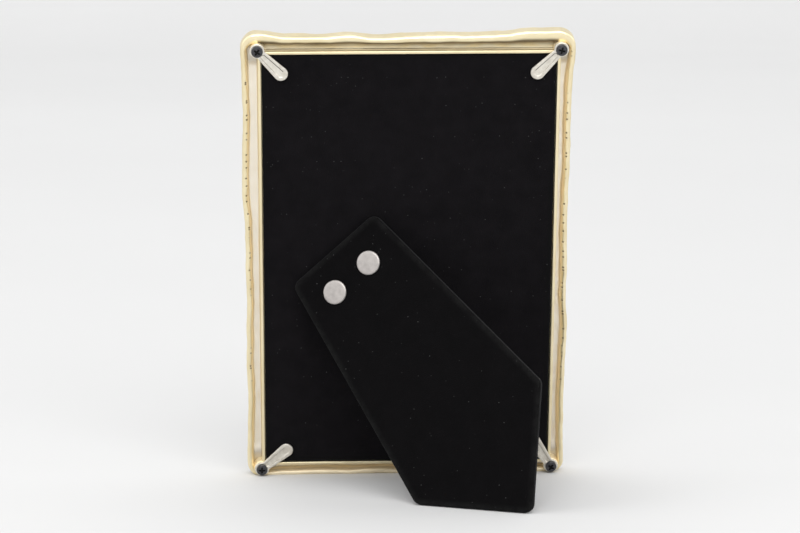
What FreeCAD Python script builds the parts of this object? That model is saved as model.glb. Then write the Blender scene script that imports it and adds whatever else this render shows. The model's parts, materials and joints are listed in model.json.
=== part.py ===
import FreeCAD, Part
import math
import os
import Sketcher

# Easel-back frame for a 4 x 6 inch print: cast frame, glazing stack, velvet backboard held by four
# turn buttons, and a diagonal easel leg on a five-knuckle hinge.
#
# Every piece is drawn upright: X across, Y towards the back, Z up the frame, with Y = 0 on the
# backboard's rear face and X = Z = 0 at its middle. Its Placement then leans the frame back about X
# until it stands on the flat land under its rear bottom edge and on the foot of the open leg.

DIMENSIONS = {
    # cast frame, measured outwards from the opening that holds the glass and the board
    "opening_width": 103.0,
    "opening_height": 154.0,
    "inner_wall": 1.1,
    "channel_width": 2.3,
    "rim_wall": 2.4,
    "outer_corner": 5.5,
    "lip_overlap": 3.7,
    # depths along Y from the board's rear face, positive towards the back
    "wall_top": 0.1,
    "boss_top": 0.15,
    "rim_crest": -1.0,
    "channel_floor": -5.5,
    "glass_front": -6.0,
    "front_face": -8.0,
    "rim_round": 1.1,
    "front_round": 2.5,
    "land_depth": 0.2,
    "frame_lean": 12.0,
    # glazing stack
    "print_width": 101.6,
    "print_height": 152.4,
    "glass_thick": 2.0,
    "print_thick": 0.25,
    "card_thick": 0.6,
    "board_play": 0.3,
    "velvet_thick": 0.4,
    "board_core_thick": 2.6,
    "board_lining_thick": 0.15,
    # corner screws and turn buttons
    "screw_across": 52.7,
    "screw_up": 78.9,
    "screw_drop": 0.4,
    "boss_radius": 2.4,
    "thread_radius": 1.0,
    "thread_length": 4.5,
    "shoulder_radius": 1.3,
    "head_radius": 2.0,
    "head_height": 1.3,
    "recess_width": 0.45,
    "recess_length": 2.1,
    "recess_depth": 0.7,
    "button_gap": 0.1,
    "button_thick": 0.8,
    "button_bore": 1.35,
    "button_head": 2.6,
    "button_neck_half": 1.55,
    "button_tip_radius": 2.5,
    "button_tip_reach": 11.5,
    "crease_width": 0.9,
    "crease_depth": 0.3,
    # how each button is left turned, from its arm pointing straight down
    "turned_top_right": 45.0,
    "turned_top_left": -44.8,
    "turned_bottom_right": 130.0,
    "turned_bottom_left": -146.5,
    # leg, measured from the middle of its hinge pin
    "hinge_across": 23.83,
    "hinge_up": 1.7,
    "leg_lean": 43.0,
    "leg_flare_low": 8.1,
    "leg_flare_high": 6.7,
    "leg_top_width": 39.44,
    "leg_top_offset": 0.73,
    "leg_side_reach": 77.43,
    "leg_corner": 3.2,
    "leg_core_thick": 1.6,
    "leg_lining_thick": 0.2,
    # hinge
    "hinge_inset": 3.95,
    "pin_height": 1.1,
    "pin_radius": 0.5,
    "pin_bore": 0.55,
    "pin_head_radius": 0.9,
    "pin_head_thick": 0.4,
    "knuckle_radius": 1.05,
    "leaf_thick": 0.5,
    "leaf_width": 26.0,
    "leaf_length": 13.0,
    "leaf_notch": 1.45,
    "knuckle_gap": 0.2,
    # rivets and tacks
    "rivet_spread": 8.05,
    "rivet_drop": 8.45,
    "rivet_head_radius": 4.2,
    "rivet_head_thick": 0.8,
    "rivet_shank": 1.3,
    "rivet_tail_radius": 1.8,
    "rivet_tail_thick": 0.35,
    "tack_spread": 4.6,
    "tack_head_radius": 1.9,
    "tack_head_thick": 0.5,
    "tack_shank": 1.1,
    "tack_depth": 2.2,
}

KNUCKLES = 5

doc = FreeCAD.newDocument("easel_back_frame")
sheet = doc.addObject("Spreadsheet::Sheet", "Sheet")


def set_dimension(row, name, number):
    """Write one named plain number into the sheet."""
    sheet.set("A%d" % row, name)
    sheet.set("B%d" % row, repr(round(number, 6)))
    sheet.setAlias("B%d" % row, name)


for row, (name, number) in enumerate(DIMENSIONS.items(), start=1):
    set_dimension(row, name, number)
doc.recompute()


def value(expression):
    """The number that an expression over the sheet's cells stands for."""
    result = sheet.evalExpression(str(expression))
    return float(getattr(result, "Value", result))


def add_derived():
    """Add the cells that follow: how far the leg opens, the land and the foot."""
    lean = math.radians(value("Sheet.frame_lean"))
    slant = math.radians(value("Sheet.leg_lean"))
    opening = 2 * math.atan(math.tan(lean) / math.cos(slant))
    # the land cuts the rounded rear bottom edge just above its lowest point in the leaning pose
    rim_bottom = value("-Sheet.opening_height / 2 - Sheet.inner_wall - Sheet.channel_width - Sheet.rim_wall")
    round_radius = value("Sheet.rim_round")
    centre_y = value("Sheet.rim_crest") - round_radius
    centre_z = rim_bottom + round_radius
    lowest = centre_z * math.cos(lean) - centre_y * math.sin(lean) - round_radius
    land_height = lowest + value("Sheet.land_depth")
    # the foot's inner edge lies on the same level as the land
    pin_height = value("Sheet.pin_height")
    inner_face = value(LEG_INNER)
    pin_level = value("Sheet.hinge_up") * math.cos(lean) - pin_height * math.sin(lean) - land_height
    foot_reach = (pin_level + inner_face * math.sin(lean)) / math.cos(lean)
    first_row = len(DIMENSIONS) + 1
    set_dimension(first_row, "leg_opening", math.degrees(opening))
    set_dimension(first_row + 1, "land_height", land_height)
    set_dimension(first_row + 2, "leg_foot_reach", foot_reach)
    doc.recompute()


# depths of the leg's layers over the pin's axis, from its inner face outwards
LEG_INNER = "Sheet.knuckle_radius + Sheet.knuckle_gap"
LEG_CORE_INNER = LEG_INNER + " + Sheet.leg_lining_thick"
LEG_CORE_OUTER = LEG_CORE_INNER + " + Sheet.leg_core_thick"
LEG_OUTER = LEG_CORE_OUTER + " + Sheet.velvet_thick"

add_derived()


# ---------------------------------------------------------------- helpers

def new_body(label):
    body = doc.addObject("PartDesign::Body", label)
    body.Label = label
    return body


def origin_plane(body, role):
    for item in body.Origin.OriginFeatures:
        if item.Role == role:
            return item
    raise RuntimeError("no plane " + role)


def new_sketch(body, name, depth):
    """A sketch parallel to the body's XZ plane, at that depth along Y."""
    sketch = body.newObject("Sketcher::SketchObject", body.Label + "_" + name)
    sketch.AttachmentSupport = [(origin_plane(body, "XZ_Plane"), "")]
    sketch.MapMode = "FlatFace"
    sketch.setExpression("AttachmentOffset.Base.z", "-(%s) * 1 mm" % depth)
    return sketch


def bind(sketch, constraint, name, expression, unit="mm"):
    index = sketch.addConstraint(constraint)
    sketch.renameConstraint(index, name)
    sketch.setExpression("Constraints." + name, "(%s) * 1 %s" % (expression, unit))


def draw_rectangle(sketch, width, height):
    """A rectangle centred on the sketch's origin."""
    half_width = value(width) / 2
    half_height = value(height) / 2
    corners = [(-half_width, -half_height), (half_width, -half_height),
               (half_width, half_height), (-half_width, half_height)]
    first = draw_polygon(sketch, corners)
    for side in (0, 2):
        sketch.addConstraint(Sketcher.Constraint("Horizontal", first + side))
        sketch.addConstraint(Sketcher.Constraint("Vertical", first + side + 1))
    sketch.addConstraint(Sketcher.Constraint("Symmetric", first, 1, first + 1, 2, -1, 1))
    bind(sketch, Sketcher.Constraint("DistanceX", first, 1, first, 2, 2 * half_width), "width", width)
    bind(sketch, Sketcher.Constraint("DistanceY", first + 1, 1, first + 1, 2, 2 * half_height),
         "height", height)


def draw_polygon(sketch, corners):
    """A closed outline of straight lines joined end to end; returns the first line's number."""
    first = sketch.GeometryCount
    count = len(corners)
    for index, (x, y) in enumerate(corners):
        next_x, next_y = corners[(index + 1) % count]
        start = FreeCAD.Vector(x, y, 0)
        end = FreeCAD.Vector(next_x, next_y, 0)
        sketch.addGeometry(Part.LineSegment(start, end), False)
    for index in range(count):
        following = first + (index + 1) % count
        sketch.addConstraint(Sketcher.Constraint("Coincident", first + index, 2, following, 1))
    return first


def draw_circle(sketch, across, up, radius, tag=""):
    centre = FreeCAD.Vector(value(across), value(up), 0)
    number = sketch.addGeometry(Part.Circle(centre, FreeCAD.Vector(0, 0, 1), value(radius)), False)
    bind(sketch, Sketcher.Constraint("Radius", number, value(radius)), "radius" + tag, radius)
    bind(sketch, Sketcher.Constraint("DistanceX", -1, 1, number, 3, value(across)),
         "across" + tag, across)
    bind(sketch, Sketcher.Constraint("DistanceY", -1, 1, number, 3, value(up)), "up" + tag, up)


def pad(body, sketch, length):
    """Extrude a sketch on XZ_Plane towards the front."""
    feature = body.newObject("PartDesign::Pad", sketch.Name + "_pad")
    feature.Profile = sketch
    feature.setExpression("Length", "(%s) * 1 mm" % length)
    sketch.Visibility = False
    return feature


def pocket(body, sketch, length, both_ways=False):
    """Cut a sketch on XZ_Plane towards the front, and check that something was cut."""
    doc.recompute()
    before = body.Shape.Volume
    feature = body.newObject("PartDesign::Pocket", sketch.Name + "_pocket")
    feature.Profile = sketch
    feature.setExpression("Length", "(%s) * 1 mm" % length)
    if both_ways:
        feature.SideType = "Symmetric"
    else:
        feature.Reversed = True
    doc.recompute()
    if before - body.Shape.Volume < 1e-3:
        raise RuntimeError("nothing cut by " + feature.Name)
    return feature


def fillet(body, radius, is_wanted):
    """Round the edges of the body's last feature that the test picks."""
    doc.recompute()
    base = body.Tip
    names = []
    for index, edge in enumerate(base.Shape.Edges, start=1):
        if is_wanted(edge):
            names.append("Edge%d" % index)
    if not names:
        raise RuntimeError("no edges to round on " + body.Label)
    feature = body.newObject("PartDesign::Fillet", "%s_round%d" % (body.Name, len(body.Group)))
    feature.Base = (base, names)
    feature.setExpression("Radius", "(%s) * 1 mm" % radius)
    return feature


def runs_along_y(edge):
    box = edge.BoundBox
    return box.YLength > 0.01 and box.XLength < 1e-6 and box.ZLength < 1e-6


def lies_at_depth(depth):
    """Test for the edges that lie flat at that depth along Y."""
    level = value(depth)

    def test(edge):
        box = edge.BoundBox
        return abs(box.YMin - level) < 1e-4 and box.YLength < 1e-4
    return test


def slab(label, width, height, rear, thick):
    """A plain rectangular sheet whose rear face is at Y = rear."""
    body = new_body(label)
    sketch = new_sketch(body, "outline", rear)
    draw_rectangle(sketch, width, height)
    pad(body, sketch, thick)
    return body


def corner_signs():
    for up in (1, -1):
        for across in (1, -1):
            yield across, up


# ---------------------------------------------------------------- cast frame

OUTER_WIDTH = "Sheet.opening_width + 2 * (Sheet.inner_wall + Sheet.channel_width + Sheet.rim_wall)"
OUTER_HEIGHT = "Sheet.opening_height + 2 * (Sheet.inner_wall + Sheet.channel_width + Sheet.rim_wall)"


def draw_four_circles(sketch, radius):
    for number, (across, up) in enumerate(corner_signs()):
        draw_circle(sketch, "%d * Sheet.screw_across" % across,
                    "%d * Sheet.screw_up - Sheet.screw_drop" % up, radius, str(number))


def frame_casting():
    body = new_body("frame_casting")
    outline = new_sketch(body, "outline", "Sheet.rim_crest")
    draw_rectangle(outline, OUTER_WIDTH, OUTER_HEIGHT)
    pad(body, outline, "Sheet.rim_crest - Sheet.front_face")
    fillet(body, "Sheet.outer_corner", runs_along_y)
    fillet(body, "Sheet.front_round", lies_at_depth("Sheet.front_face"))
    fillet(body, "Sheet.rim_round", lies_at_depth("Sheet.rim_crest"))

    hollow = new_sketch(body, "hollow", "Sheet.rim_crest")
    draw_rectangle(hollow, OUTER_WIDTH + " - 2 * Sheet.rim_wall", OUTER_HEIGHT + " - 2 * Sheet.rim_wall")
    pocket(body, hollow, "Sheet.rim_crest - Sheet.channel_floor")
    fillet(body, "Sheet.outer_corner - Sheet.rim_wall", is_hollow_corner)

    wall = new_sketch(body, "wall", "Sheet.wall_top")
    draw_rectangle(wall, "Sheet.opening_width + 2 * Sheet.inner_wall",
                   "Sheet.opening_height + 2 * Sheet.inner_wall")
    pad(body, wall, "Sheet.wall_top - Sheet.channel_floor")

    bosses = new_sketch(body, "bosses", "Sheet.boss_top")
    draw_four_circles(bosses, "Sheet.boss_radius")
    pad(body, bosses, "Sheet.boss_top - Sheet.channel_floor")

    rabbet = new_sketch(body, "rabbet", "Sheet.boss_top")
    draw_rectangle(rabbet, "Sheet.opening_width", "Sheet.opening_height")
    pocket(body, rabbet, "Sheet.boss_top - Sheet.glass_front")

    window = new_sketch(body, "window", "Sheet.glass_front")
    draw_rectangle(window, "Sheet.opening_width - 2 * Sheet.lip_overlap",
                   "Sheet.opening_height - 2 * Sheet.lip_overlap")
    pocket(body, window, "Sheet.glass_front - Sheet.front_face")

    threads = new_sketch(body, "threads", "Sheet.boss_top")
    draw_four_circles(threads, "Sheet.thread_radius")
    pocket(body, threads, "Sheet.thread_length")

    cut_land(body)
    return body


def is_hollow_corner(edge):
    hollow_width = value(OUTER_WIDTH) / 2 - value("Sheet.rim_wall")
    return runs_along_y(edge) and abs(abs(edge.BoundBox.Center.x) - hollow_width) < 0.01


def cut_land(body):
    """Flatten the rear bottom edge so that it stands level once the frame leans back."""
    lean = math.radians(value("Sheet.frame_lean"))
    level = value("Sheet.land_height")
    front = value("Sheet.front_face") - 1
    rear = value("Sheet.boss_top") + 1
    corners = []
    for depth in (front, rear):
        corners.append((depth, (level + depth * math.sin(lean)) / math.cos(lean)))
    low = min(corners[0][1], corners[1][1]) - 3
    corners += [(rear, low), (front, low)]
    sketch = body.newObject("Sketcher::SketchObject", "frame_casting_land")
    sketch.AttachmentSupport = [(origin_plane(body, "YZ_Plane"), "")]
    sketch.MapMode = "FlatFace"
    first = draw_polygon(sketch, corners)
    for corner in range(len(corners)):
        sketch.addConstraint(Sketcher.Constraint("Block", first + corner))
    pocket(body, sketch, OUTER_WIDTH + " + 2", both_ways=True)


# ---------------------------------------------------------------- glazing stack and backboard

GLASS_REAR = "Sheet.glass_front + Sheet.glass_thick"
PRINT_REAR = GLASS_REAR + " + Sheet.print_thick"
CARD_REAR = PRINT_REAR + " + Sheet.card_thick"


def glass_pane():
    return slab("glass_pane", "Sheet.print_width", "Sheet.print_height", GLASS_REAR, "Sheet.glass_thick")


def photo_print():
    return slab("photo_print", "Sheet.print_width", "Sheet.print_height", PRINT_REAR, "Sheet.print_thick")


def backing_card():
    return slab("backing_card", "Sheet.print_width", "Sheet.print_height", CARD_REAR, "Sheet.card_thick")


BOARD_WIDTH = "Sheet.opening_width - 2 * Sheet.board_play"
BOARD_HEIGHT = "Sheet.opening_height - 2 * Sheet.board_play"
CORE_WIDTH = BOARD_WIDTH + " - 2 * Sheet.velvet_thick"
CORE_HEIGHT = BOARD_HEIGHT + " - 2 * Sheet.velvet_thick"
CORE_FRONT = "-Sheet.velvet_thick - Sheet.board_core_thick"


def backboard_lining():
    return slab("backboard_lining", CORE_WIDTH, CORE_HEIGHT, CORE_FRONT, "Sheet.board_lining_thick")


def backboard_core():
    body = slab("backboard_core", CORE_WIDTH, CORE_HEIGHT, "-Sheet.velvet_thick", "Sheet.board_core_thick")
    cut_tack_holes(body, "-Sheet.velvet_thick", "Sheet.tack_depth - Sheet.velvet_thick")
    return body


def backboard_velvet():
    """The velvet covers the board's rear face and turns over its edges."""
    body = slab("backboard_velvet", BOARD_WIDTH, BOARD_HEIGHT, "0",
                "Sheet.velvet_thick + Sheet.board_core_thick")
    inside = new_sketch(body, "inside", "-Sheet.velvet_thick")
    draw_rectangle(inside, CORE_WIDTH, CORE_HEIGHT)
    pocket(body, inside, "Sheet.board_core_thick")
    cut_tack_holes(body, "0", "Sheet.velvet_thick")
    return body


def cut_tack_holes(body, rear, depth):
    """Two holes for the hinge tacks, in line with the slanted hinge."""
    holes = new_sketch(body, "tacks", rear)
    slant = math.radians(value("Sheet.leg_lean"))
    for side in (1, -1):
        along = side * value("Sheet.tack_spread")
        drop = value("Sheet.rivet_drop")
        across = value("Sheet.hinge_across") + along * math.cos(slant) - drop * math.sin(slant)
        up = value("Sheet.hinge_up") - along * math.sin(slant) - drop * math.cos(slant)
        draw_circle(holes, repr(across), repr(up), "Sheet.tack_shank", "_left" if side < 0 else "_right")
    pocket(body, holes, depth)


# ---------------------------------------------------------------- screws and turn buttons

HEAD_UNDERSIDE = "Sheet.button_thick + 2 * Sheet.button_gap"


def draw_turned_profile(sketch, steps):
    """Half section of a turned piece: steps of (radius, top, bottom) downwards, on the XY plane."""
    corners = [(0, value(steps[0][1]))]
    for radius, top, bottom in steps:
        corners.append((value(radius), value(top)))
        corners.append((value(radius), value(bottom)))
    corners.append((0, value(steps[-1][2])))
    first = draw_polygon(sketch, corners)
    for index in range(len(corners)):
        sketch.addConstraint(Sketcher.Constraint("Block", first + index))


def turned(body, steps):
    """Revolve a stepped profile about the body's Y axis."""
    sketch = body.newObject("Sketcher::SketchObject", body.Label + "_section")
    sketch.AttachmentSupport = [(origin_plane(body, "XY_Plane"), "")]
    sketch.MapMode = "FlatFace"
    draw_turned_profile(sketch, steps)
    feature = body.newObject("PartDesign::Revolution", body.Label + "_turned")
    feature.Profile = sketch
    feature.ReferenceAxis = (sketch, ["V_Axis"])
    feature.Angle = 360
    doc.recompute()
    return feature


def is_top_rim(radius, level):
    """Test for the round edge of that radius at that height along Y."""
    def test(edge):
        box = edge.BoundBox
        same_level = abs(box.YMin - level) < 1e-4 and box.YLength < 1e-4
        return same_level and abs(box.XLength / 2 - radius) < 1e-3
    return test


def corner_screw(label):
    """Pan-head cross-recess screw; its own origin is on its axis, on the boss's top face."""
    body = new_body(label)
    head_top = HEAD_UNDERSIDE + " + Sheet.head_height"
    turned(body, [
        ("Sheet.head_radius", head_top, HEAD_UNDERSIDE),
        ("Sheet.shoulder_radius", HEAD_UNDERSIDE, "0"),
        ("Sheet.thread_radius", "0", "-Sheet.thread_length"),
    ])
    fillet(body, "Sheet.head_height * 0.6", is_top_rim(value("Sheet.head_radius"), value(head_top)))
    for number, (width, height) in enumerate((("Sheet.recess_length", "Sheet.recess_width"),
                                              ("Sheet.recess_width", "Sheet.recess_length"))):
        slot = new_sketch(body, "slot%d" % number, head_top)
        draw_rectangle(slot, width, height)
        pocket(body, slot, "Sheet.recess_depth")
    return body


def turn_button(label):
    """Stamped turn button; its own origin is on the screw's axis, and its arm points down."""
    body = new_body(label)
    rear = "Sheet.button_gap + Sheet.button_thick"
    arm = new_sketch(body, "arm", rear)
    neck = value("Sheet.button_neck_half")
    tip = value("Sheet.button_tip_radius")
    reach = value("Sheet.button_tip_reach")
    # the arm's sides are tangent to the round tip
    tilt = math.asin((tip - neck) / reach)
    shoulder = (tip * math.cos(tilt), -reach - tip * math.sin(-tilt))
    points = [FreeCAD.Vector(-neck, 0, 0), FreeCAD.Vector(-shoulder[0], shoulder[1], 0),
              FreeCAD.Vector(shoulder[0], shoulder[1], 0), FreeCAD.Vector(neck, 0, 0)]
    low = FreeCAD.Vector(0, -reach - tip, 0)
    arm.addGeometry(Part.LineSegment(points[0], points[1]), False)
    arm.addGeometry(Part.Arc(points[1], low, points[2]), False)
    arm.addGeometry(Part.LineSegment(points[2], points[3]), False)
    arm.addGeometry(Part.LineSegment(points[3], points[0]), False)
    for number in range(4):
        arm.addConstraint(Sketcher.Constraint("Block", number))
    pad(body, arm, "Sheet.button_thick")

    head = new_sketch(body, "head", rear)
    draw_circle(head, "0", "0", "Sheet.button_head")
    pad(body, head, "Sheet.button_thick")

    bore = new_sketch(body, "bore", rear)
    draw_circle(bore, "0", "0", "Sheet.button_bore")
    pocket(body, bore, "Sheet.button_thick")

    crease = new_sketch(body, "crease", rear)
    half = value("Sheet.crease_width") / 2
    top = -value("Sheet.button_head") - half
    draw_polygon(crease, [(-half, -reach), (half, -reach), (half, top), (-half, top)])
    for number in range(4):
        crease.addConstraint(Sketcher.Constraint("Block", number))
    pocket(body, crease, "Sheet.crease_depth")
    return body


# ---------------------------------------------------------------- easel leg

def leg_edges(inset):
    """The leg's five sides, in order, each as its outward angle and its distance from the pin."""
    side = "(Sheet.leg_top_width / 2 %s Sheet.leg_top_offset) * cos(%s * 1 deg)"
    side += " + Sheet.hinge_inset * sin(%s * 1 deg)"
    low = "Sheet.leg_flare_low"
    high = "Sheet.leg_flare_high"
    return [
        (low, side % ("-", low, low) + " - " + inset),
        ("90", "Sheet.hinge_inset - %s" % inset),
        ("180 - " + high, side % ("+", high, high) + " - " + inset),
        ("180 + Sheet.leg_lean", "Sheet.leg_side_reach - %s" % inset),
        ("270 + Sheet.leg_lean", "Sheet.leg_foot_reach - %s" % inset),
    ]


def line_crossing(first, second):
    """Where two lines meet, each given by its outward angle and distance from the origin."""
    angle_a, distance_a = math.radians(value(first[0])), value(first[1])
    angle_b, distance_b = math.radians(value(second[0])), value(second[1])
    spread = math.sin(angle_b - angle_a)
    x = (distance_a * math.sin(angle_b) - distance_b * math.sin(angle_a)) / spread
    y = (distance_b * math.cos(angle_a) - distance_a * math.cos(angle_b)) / spread
    return x, y


def draw_leg_outline(sketch, inset="0"):
    edges = leg_edges(inset)
    corners = []
    for index, edge in enumerate(edges):
        corners.append(line_crossing(edges[index - 1], edge))
    first = draw_polygon(sketch, corners)
    for index, (angle, distance) in enumerate(edges):
        line = first + index
        bind(sketch, Sketcher.Constraint("Distance", -1, 1, line, value(distance)),
             "reach%d" % index, distance)
        direction = "(%s) + 90" % angle
        if value(direction) > 180:
            direction += " - 360"
        bind(sketch, Sketcher.Constraint("Angle", line, math.radians(value(direction))),
             "slope%d" % index, direction, "deg")


def leg_sheet(label, rear, thick):
    """An inner layer of the leg, flat along the leg's own X and Z with the pin at the origin."""
    body = new_body(label)
    outline = new_sketch(body, "outline", rear)
    draw_leg_outline(outline, "Sheet.velvet_thick")
    pad(body, outline, thick)
    fillet(body, "Sheet.leg_corner - Sheet.velvet_thick", runs_along_y)
    cut_rivet_holes(body, rear, thick)
    return body


def cut_rivet_holes(body, rear, depth):
    holes = new_sketch(body, "rivets", rear)
    draw_circle(holes, "Sheet.rivet_spread", "-Sheet.rivet_drop", "Sheet.rivet_shank", "_right")
    draw_circle(holes, "-Sheet.rivet_spread", "-Sheet.rivet_drop", "Sheet.rivet_shank", "_left")
    pocket(body, holes, depth)


def leg_lining():
    return leg_sheet("leg_lining", LEG_CORE_INNER, "Sheet.leg_lining_thick")


def leg_core():
    return leg_sheet("leg_core", LEG_CORE_OUTER, "Sheet.leg_core_thick")


def leg_velvet():
    """The velvet covers the leg's outer face and turns over its edges."""
    body = new_body("leg_velvet")
    thick = "Sheet.leg_lining_thick + Sheet.leg_core_thick"
    outline = new_sketch(body, "outline", LEG_OUTER)
    draw_leg_outline(outline)
    pad(body, outline, thick + " + Sheet.velvet_thick")
    inside = new_sketch(body, "inside", LEG_CORE_OUTER)
    draw_leg_outline(inside, "Sheet.velvet_thick")
    pocket(body, inside, thick)
    fillet(body, "Sheet.leg_corner - Sheet.velvet_thick", is_leg_corner(LEG_CORE_OUTER))
    fillet(body, "Sheet.leg_corner", is_leg_corner(LEG_OUTER))
    cut_rivet_holes(body, LEG_OUTER, "Sheet.velvet_thick")
    return body


def is_leg_corner(rear):
    """Test for the lines along Y that end at that depth."""
    level = value(rear)

    def test(edge):
        return runs_along_y(edge) and abs(edge.BoundBox.YMax - level) < 1e-4
    return test


def leg_rivet(label):
    """Round-headed rivet through the leg and the moving leaf, clinched under the leaf."""
    body = new_body(label)
    head_top = LEG_OUTER + " + Sheet.rivet_head_thick"
    leaf_under = LEG_INNER + " - Sheet.leaf_thick"
    turned(body, [
        ("Sheet.rivet_head_radius", head_top, LEG_OUTER),
        ("Sheet.rivet_shank", LEG_OUTER, leaf_under),
        ("Sheet.rivet_tail_radius", leaf_under, leaf_under + " - Sheet.rivet_tail_thick"),
    ])
    rim = is_top_rim(value("Sheet.rivet_head_radius"), value(head_top))
    fillet(body, "Sheet.rivet_head_thick * 0.75", rim)
    return body


# ---------------------------------------------------------------- hinge

def bind_all(item, sizes):
    for name, expression in sizes.items():
        item.setExpression(name, "(%s) * 1 mm" % expression)


def solid_box(name, x_min, y_min, z_min, x_size, y_size, z_size):
    item = doc.addObject("Part::Box", name)
    bind_all(item, {"Length": x_size, "Width": y_size, "Height": z_size, "Placement.Base.x": x_min,
                    "Placement.Base.y": y_min, "Placement.Base.z": z_min})
    return item


def rod_along_x(name, start, length, radius):
    item = doc.addObject("Part::Cylinder", name)
    item.Placement = FreeCAD.Placement(FreeCAD.Vector(0, 0, 0), FreeCAD.Rotation(FreeCAD.Vector(0, 1, 0), 90))
    bind_all(item, {"Height": length, "Radius": radius, "Placement.Base.x": start})
    return item


def rod_along_y(name, x, z, start, length, radius):
    item = doc.addObject("Part::Cylinder", name)
    item.Placement = FreeCAD.Placement(FreeCAD.Vector(0, 0, 0), FreeCAD.Rotation(FreeCAD.Vector(1, 0, 0), -90))
    bind_all(item, {"Height": length, "Radius": radius, "Placement.Base.x": x,
                    "Placement.Base.y": start, "Placement.Base.z": z})
    return item


def fuse(name, items):
    item = doc.addObject("Part::MultiFuse", name)
    item.Shapes = items
    item.Refine = True
    return item


def cut(name, base, tool):
    item = doc.addObject("Part::Cut", name)
    item.Base = base
    item.Tool = tool
    item.Refine = True
    item.Label = name
    return item


def hinge_leaf(label, plate_under, own_knuckles, hole_spread, hole_radius):
    """A leaf that hangs down from its knuckles; the pin's axis is the leaf's own X axis."""
    pitch = "(Sheet.leaf_width / %d)" % KNUCKLES
    left = "-Sheet.leaf_width / 2"
    plate = solid_box(label + "_plate", left, plate_under, "-Sheet.leaf_length",
                      "Sheet.leaf_width", "Sheet.leaf_thick", "Sheet.leaf_length")
    solids = [plate]
    gaps = []
    for number in range(KNUCKLES):
        start = "%s + %d * %s" % (left, number, pitch)
        if number in own_knuckles:
            solids.append(rod_along_x("%s_knuckle%d" % (label, number),
                                      start + " + Sheet.knuckle_gap / 2",
                                      pitch + " - Sheet.knuckle_gap", "Sheet.knuckle_radius"))
        else:
            gaps.append(solid_box("%s_notch%d" % (label, number), start + " - Sheet.knuckle_gap / 2",
                                  "-Sheet.leaf_length", "-Sheet.leaf_notch",
                                  pitch + " + Sheet.knuckle_gap", "2 * Sheet.leaf_length",
                                  "2 * Sheet.leaf_notch"))
    bore = rod_along_x(label + "_bore", left + " - 1", "Sheet.leaf_width + 2", "Sheet.pin_bore")
    holes = []
    for side in (1, -1):
        holes.append(rod_along_y("%s_hole%s" % (label, "_right" if side > 0 else "_left"),
                                 "%d * %s" % (side, hole_spread), "-Sheet.rivet_drop",
                                 "-Sheet.leaf_length", "2 * Sheet.leaf_length", hole_radius))
    metal = fuse(label + "_metal", solids)
    return cut(label, metal, fuse(label + "_openings", gaps + [bore] + holes))


def hinge_fixed_leaf():
    own_knuckles = (0, 2, 4)
    return hinge_leaf("hinge_fixed_leaf", "-Sheet.pin_height", own_knuckles, "Sheet.tack_spread",
                      "Sheet.tack_shank")


def hinge_moving_leaf():
    under = LEG_INNER + " - Sheet.leaf_thick"
    own_knuckles = (1, 3)
    return hinge_leaf("hinge_moving_leaf", under, own_knuckles, "Sheet.rivet_spread", "Sheet.rivet_shank")


def hinge_pin():
    shaft = rod_along_x("hinge_pin_shaft", "-Sheet.leaf_width / 2 - 0.1", "Sheet.leaf_width + 0.2",
                        "Sheet.pin_radius")
    left_head = rod_along_x("hinge_pin_left_head", "-Sheet.leaf_width / 2 - Sheet.pin_head_thick",
                            "Sheet.pin_head_thick", "Sheet.pin_head_radius")
    right_head = rod_along_x("hinge_pin_right_head", "Sheet.leaf_width / 2", "Sheet.pin_head_thick",
                             "Sheet.pin_head_radius")
    return fuse("hinge_pin", [shaft, left_head, right_head])


def hinge_tack(label):
    """Tack through the fixed leaf into the board; its own origin is on the board's rear face."""
    body = new_body(label)
    leaf_top = "Sheet.leaf_thick"
    head_top = leaf_top + " + Sheet.tack_head_thick"
    turned(body, [
        ("Sheet.tack_head_radius", head_top, leaf_top),
        ("Sheet.tack_shank", leaf_top, "-Sheet.tack_depth"),
    ])
    rim = is_top_rim(value("Sheet.tack_head_radius"), value(head_top))
    fillet(body, "Sheet.tack_head_thick * 0.6", rim)
    return body


# ---------------------------------------------------------------- assembly

def shift(x, y, z):
    return FreeCAD.Placement(FreeCAD.Vector(x, y, z), FreeCAD.Rotation())


def turn(axis, degrees):
    return FreeCAD.Placement(FreeCAD.Vector(0, 0, 0), FreeCAD.Rotation(axis, degrees))


X_AXIS = FreeCAD.Vector(1, 0, 0)
Y_AXIS = FreeCAD.Vector(0, 1, 0)


def upright_placement():
    """The leaning frame's own placement, standing on its land."""
    return shift(0, 0, -value("Sheet.land_height")) * turn(X_AXIS, -value("Sheet.frame_lean"))


def hinge_placement():
    """On the middle of the hinge pin, with the pin along X."""
    middle = shift(value("Sheet.hinge_across"), value("Sheet.pin_height"), value("Sheet.hinge_up"))
    return upright_placement() * middle * turn(Y_AXIS, value("Sheet.leg_lean"))


def screw_placement(across, up):
    """On the top face of the boss in that corner."""
    seat_up = up * value("Sheet.screw_up") - value("Sheet.screw_drop")
    seat = shift(across * value("Sheet.screw_across"), value("Sheet.boss_top"), seat_up)
    return upright_placement() * seat


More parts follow.
